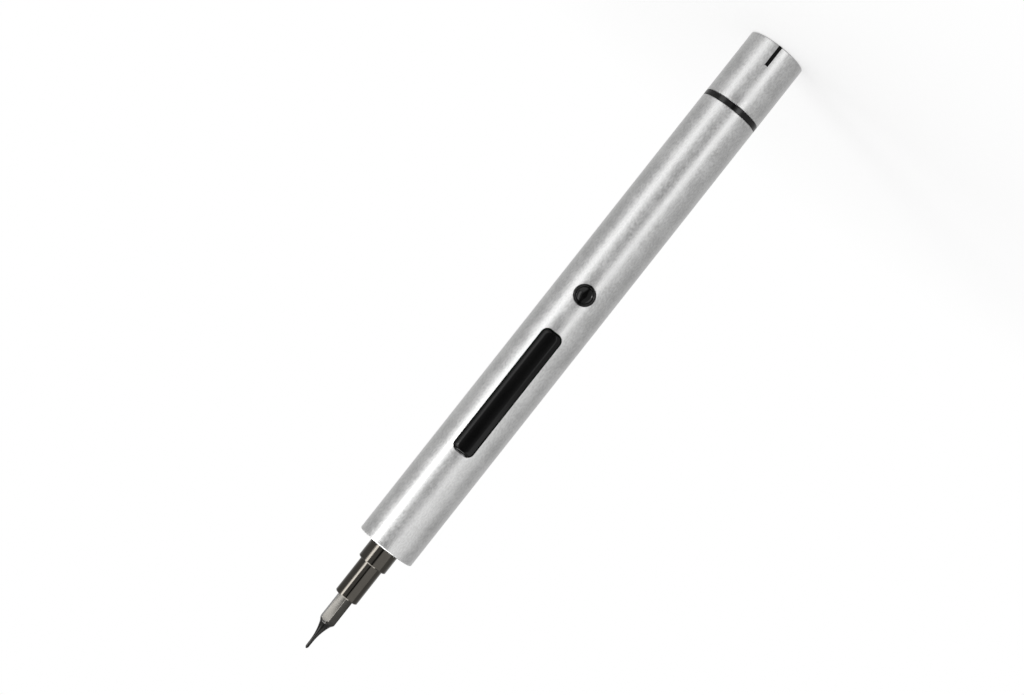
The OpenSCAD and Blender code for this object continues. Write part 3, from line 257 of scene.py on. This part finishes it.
def sheet_mesh(name, grid, material, body, ring=False, sharp=35.0):
    """A closed mesh from a grid of points, rows by columns, joined round its columns.
    In a ring the last row is joined to the first; otherwise those two rows are each
    closed with a fan from their middle point. A shell that encloses a negative volume
    is turned the right way out."""
    rows, cols, _ = grid.shape
    points = grid.reshape(-1, 3)
    r, c = np.meshgrid(np.arange(rows if ring else rows - 1), np.arange(cols), indexing="ij")
    below, beside = (r + 1) % rows, (c + 1) % cols
    faces = np.stack([r * cols + c, r * cols + beside, below * cols + beside, below * cols + c],
                     -1).reshape(-1, 4).tolist()
    if not ring:
        first, last, k = len(points), len(points) + 1, np.arange(cols)
        points = np.vstack([points, grid[0].mean(0), grid[-1].mean(0)])
        top = (rows - 1) * cols
        faces += np.stack([np.full(cols, first), (k + 1) % cols, k], -1).tolist()
        faces += np.stack([np.full(cols, last), top + k, top + (k + 1) % cols], -1).tolist()
    mesh = bpy.data.meshes.new(name)
    mesh.from_pydata(points.tolist(), [], faces)
    shell = bmesh.new()
    shell.from_mesh(mesh)
    if shell.calc_volume(signed=True) < 0:
        mesh.flip_normals()
    shell.free()
    mesh.shade_smooth()
    mesh.set_sharp_from_angle(angle=math.radians(sharp))
    mesh.materials.append(material)
    piece = bpy.data.objects.new(name, mesh)
    bpy.context.scene.collection.objects.link(piece)
    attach(piece, body)
    return piece


# ---- Bit ----
# A hardened steel bit with a 4 mm hexagon shank, ground down to a slim neck, its tip
# milled with four flutes for a small crosshead screw. A magnet holds it in the holder.
lo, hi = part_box("bit")
AF = 4.0 * MM
HEX_TURN = math.radians(20)
SHANK, SLOPE, TIP = 19.1 * MM, 1.1 * MM, 1.6 * MM
NECK_R, TIP_R = 1.6 * MM, 0.45 * MM
CHAMFER, CHAMFER_R, ROUND_R = 0.7 * MM, 1.96 * MM, 2.66 * MM
SHOULDER = 0.35 * MM
TIP_TAPER_FROM = 0.72
COLUMNS = 96
angle = HEX_TURN + np.linspace(0, 2 * math.pi, COLUMNS + 1)[:-1]
neck_from, neck_to = lo.z + SHANK + SLOPE, hi.z - TIP
t = np.linspace(0, 1, 40)
z = np.concatenate([[lo.z, lo.z + CHAMFER], np.linspace(lo.z + SHANK - SHOULDER, neck_from, 10),
                    neck_from + (neck_to - neck_from) * t[1:], neck_to + TIP * np.linspace(0, 1, 16)[1:]])
turned = np.interp(z, [lo.z, lo.z + CHAMFER, lo.z + SHANK - SHOULDER, neck_from],
                   [CHAMFER_R, ROUND_R, ROUND_R, NECK_R])
along_neck = np.clip((z - neck_from) / (neck_to - neck_from), 0, 1)
turned = np.where(z > neck_from, TIP_R + (NECK_R - TIP_R) * (1 - along_neck) ** 2.2, turned)
down_tip = np.clip((z - neck_to) / TIP, 0, 1)
taper = (down_tip - TIP_TAPER_FROM) / (1 - TIP_TAPER_FROM)
turned = np.where(down_tip > TIP_TAPER_FROM, TIP_R * (1 - 0.67 * taper), turned)
flat = (AF / 2) / np.cos((angle - HEX_TURN) % math.radians(60) - math.radians(30))
flute = (0.5 + 0.5 * np.cos(4 * (angle - HEX_TURN - math.radians(45)))) ** 1.5
radius = np.minimum(flat[None, :], turned[:, None])
radius = radius * (1 - 0.45 * np.clip(down_tip * 3, 0, 1)[:, None] * flute[None, :])
grid = np.stack([radius * np.cos(angle), radius * np.sin(angle), np.repeat(z[:, None], COLUMNS, 1)], -1)


def dark_neck(tree, here, colour):
    """Darkens the ground neck, which keeps the black of its heat treatment."""
    height = put(tree, "ShaderNodeSeparateXYZ", Vector=here)
    down = put(tree, "ShaderNodeMapRange", Value=height.outputs["Z"], From_Min=lo.z + SHANK - 0.5 * MM,
               From_Max=lo.z + SHANK + SLOPE)
    return put(tree, "ShaderNodeMix", {"data_type": "RGBA"}, in_0=down.outputs["Result"], in_6=colour,
               in_7=(0.06, 0.059, 0.057, 1)).outputs[2]


ground = finish("ground_steel", (0.12, 0.115, 0.106), 0.2, 1.0, across=1500, along=250, cloud=350, tone=0.06,
                bump=0.02, depth=0.000004, spread=0.03, extra=dark_neck)
blade = sheet_mesh("bit_blade", grid, ground, "driver_bit", sharp=25)
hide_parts("bit")

# ---- Nose ----
# The bit holder and the fixed sleeve behind it are turned steel with a dark nickel
# plating; the sleeve is pressed into the gearbox, the holder turns in its bearing.
plated = finish("dark_nickel", (0.110, 0.102, 0.090), 0.11, 1.0, across=900, along=9000, cloud=400, tone=0.1,
                bump=0.25, depth=0.000006, spread=0.04)
dress(plated, "nose_sleeve", "bit_holder")

# ---- Long button ----
# One long rocker for forwards and backwards, moulded in glossy black plastic with
# sloping sides. It tips on a steel pin that runs through two ears beneath it.
def lozenge(half_w, half_l, corner, steps=10):
    """A rounded rectangle, half_w by half_l from its middle, as x and z points."""
    turns = np.radians(np.arange(4)[:, None] * 90 + np.linspace(0, 90, steps)[None, :])
    cx = np.array([1, -1, -1, 1])[:, None] * (half_w - corner)
    cz = np.array([1, 1, -1, -1])[:, None] * (half_l - corner)
    return np.stack([(cx + corner * np.cos(turns)).ravel(), (cz + corner * np.sin(turns)).ravel()], -1)


lo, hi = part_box("rocker_button")
mid_z = (lo.z + hi.z) / 2
HALF_W, HALF_L = (hi.x - lo.x) / 2, (hi.z - lo.z) / 2
UNDER = -6.6 * MM
SIDE_SLOPE, END_SLOPE = 1.1 * MM, 0.6 * MM
# inset share and depth from the top, walked from the underside up over the soft shoulder
walk = np.array([[0.0, UNDER - lo.y], [0.0, 0.72 * MM], [0.03, 0.64 * MM], [0.1, 0.565 * MM],
                 [0.3, 0.42 * MM], [0.6, 0.22 * MM], [0.85, 0.07 * MM], [0.97, 0.018 * MM], [1.1, 0.0]])
rings = [np.insert(lozenge(HALF_W - SIDE_SLOPE * i, HALF_L - END_SLOPE * i, max(0.8, 1.6 - 0.5 * i) * MM)
                   + [0, mid_z], 1, lo.y + down, axis=1) for i, down in walk]
cap = sheet_mesh("rocker_cap", np.array(rings), satin, "rocker", sharp=40)
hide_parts("rocker_button")

# ---- Round button ----
# The power button is a dished cap inside a raised ring, both glossy black. The ring is
# glued into the barrel; the cap presses a switch under it.
def turned_y(name, profile, centre_z, material, body, ring=False, segments=96, sharp=40.0):
    """A profile of radius and height pairs turned round a line that runs to the front
    at the height centre_z."""
    turns = np.linspace(0, 2 * math.pi, segments + 1)[:-1]
    r, h = np.array(profile).T * MM
    grid = np.stack([r[:, None] * np.cos(turns), np.repeat(-h[:, None], segments, 1),
                     centre_z + r[:, None] * np.sin(turns)], -1)
    return sheet_mesh(name, grid, material, body, ring, sharp)


lo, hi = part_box("power_button")
power_z = (lo.z + hi.z) / 2
dish = [(2.0 * k / 20, 8.3 - 0.35 * (1 - (k / 20) ** 3)) for k in range(20, 0, -1)]
skirt = [(0.1, 5.8), (2.6, 5.8), (2.6, 6.2), (2.1, 6.2), (2.1, 8.2), (2.08, 8.27), (2.03, 8.3)]
button = turned_y("power_cap", skirt + dish, power_z, lacquer, "power")
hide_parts("power_button")
# the ring: a flange bore below, then a rounded crest that leans in to the cap
crest = [(2.9 - 0.375 * (1 - math.cos(a)), 7.978 + 0.42 * math.sin(a))
         for a in np.radians(np.arange(0, 181, 9))]
surround = turned_y("power_ring", [(2.65, 6.86), (2.65, 6.25), (2.9, 6.25)] + crest + [(2.15, 6.86)],
                    power_z, lacquer, "handle", ring=True)
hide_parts("power_bezel")

# ---- Tail ----
# The end plate carries the charging socket and the numbers of the torque settings. Two
# countersunk screws hold it to the core that the dial turns on.
ink = finish("printed_white", (0.75, 0.75, 0.74), 0.55, tone=0.06, bump=0.1)
lo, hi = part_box("end_plate")


def text_points(body, size, lift):
    """The mesh of a short text as points and faces, centred, lift thick."""
    curve = bpy.data.curves.new("lettering", "FONT")
    curve.body = body
    curve.size = size
    curve.align_x = "CENTER"
    curve.align_y = "CENTER"
    curve.extrude = lift / 2
    made_text = bpy.data.objects.new("lettering", curve)
    bpy.context.scene.collection.objects.link(made_text)
    bpy.context.view_layer.update()
    mesh = bpy.data.meshes.new_from_object(made_text.evaluated_get(bpy.context.evaluated_depsgraph_get()))
    points = np.empty(len(mesh.vertices) * 3)
    mesh.vertices.foreach_get("co", points)
    faces = [list(p.vertices) for p in mesh.polygons]
    bpy.data.objects.remove(made_text)
    return points.reshape(-1, 3), faces


LIFT = 0.03 * MM
NUMBER_SIZE, NUMBER_R = 1.5 * MM, 5.75 * MM
SETTINGS, MIDDLE_SETTING, SETTING_STEP = 9, 5, 30
points, faces = [], []
for number in range(1, SETTINGS + 1):
    shape, cuts = text_points(str(number), NUMBER_SIZE, LIFT)
    faces += [[i + sum(map(len, points)) for i in cut] for cut in cuts]
    shape = shape * [1, -1, -1] + [0, -NUMBER_R, lo.z - LIFT / 2]
    a = math.radians(SETTING_STEP * (number - MIDDLE_SETTING))
    spin = np.array([[math.cos(a), -math.sin(a), 0], [math.sin(a), math.cos(a), 0], [0, 0, 1]])
    points.append(shape @ spin.T)
mesh = bpy.data.meshes.new("setting_numbers")
mesh.from_pydata(np.vstack(points).tolist(), [], faces)
mesh.materials.append(ink)
numbers = bpy.data.objects.new("setting_numbers", mesh)
bpy.context.scene.collection.objects.link(numbers)
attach(numbers, "handle")

bright = finish("bright_steel", (0.62, 0.62, 0.63), 0.25, 1.0, across=2000, along=2000, cloud=300, tone=0.08,
                bump=0.2, spread=0.06)
dress(bright, "end_plate_screws", "usb_shell", "motor_screws", "chassis_screw", "rocker_pin", "motor_shaft",
      "output_carrier", "first_carrier", "bearing_outer", "bearing_inner", "bearing_balls", "detent_ball",
      "detent_spring", "motor_can", "motor_plate")
dress(gloss, "usb_tongue")

# ---- Inside ----
# The frame halves are moulded plastic, the boards glass fibre, the gears sintered
# bronze. They are out of sight, so each takes the plain material of its kind.
frame_plastic = finish("frame_plastic", (0.05, 0.05, 0.052), 0.55, tone=0.15, bump=0.3, depth=0.00002)
circuit = finish("board_green", (0.02, 0.12, 0.05), 0.35, across=900, along=900, tone=0.2, bump=0.1)
clear = finish("clear_lens", (0.9, 0.9, 0.88), 0.1, tone=0.03, bump=0.02, spread=0.03)
clear.node_tree.nodes["Principled BSDF"].inputs["Transmission Weight"].default_value = 0.9
rest = {"frame_plastic": frame_plastic, "board_green": circuit, "lens_clear": clear}
rest["gear_bronze"] = finish("gear_bronze", (0.62, 0.46, 0.22), 0.35, 1.0, tone=0.12, bump=0.4)
rest["gear_housing"] = finish("gear_housing", (0.3, 0.3, 0.31), 0.35, 1.0, tone=0.1, bump=0.3)
rest["led_yellow"] = finish("led_yellow", (0.85, 0.75, 0.2), 0.4, tone=0.05)
rest["magnet"] = finish("magnet", (0.16, 0.16, 0.17), 0.4, 1.0, tone=0.12)
rest["copper"] = finish("copper", (0.72, 0.3, 0.14), 0.3, 1.0, across=1200, along=12000, tone=0.15, bump=0.5)
rest["iron_stack"] = finish("iron_stack", (0.2, 0.2, 0.2), 0.45, 0.9, across=100, along=9000, tone=0.2,
                            bump=0.5)
rest["cell_wrap"] = finish("cell_wrap", (0.05, 0.16, 0.3), 0.35, tone=0.06)
rest["nickel"] = finish("nickel", (0.66, 0.64, 0.6), 0.22, 1.0, tone=0.06)
rest["lead_red"] = finish("lead_red", (0.5, 0.03, 0.03), 0.45, tone=0.1)
for name, node in nodes.items():
    slot_name = node.material_slots[0].material.name.split(".")[0] if node.material_slots else ""
    if slot_name in rest:
        dress(rest[slot_name], name)
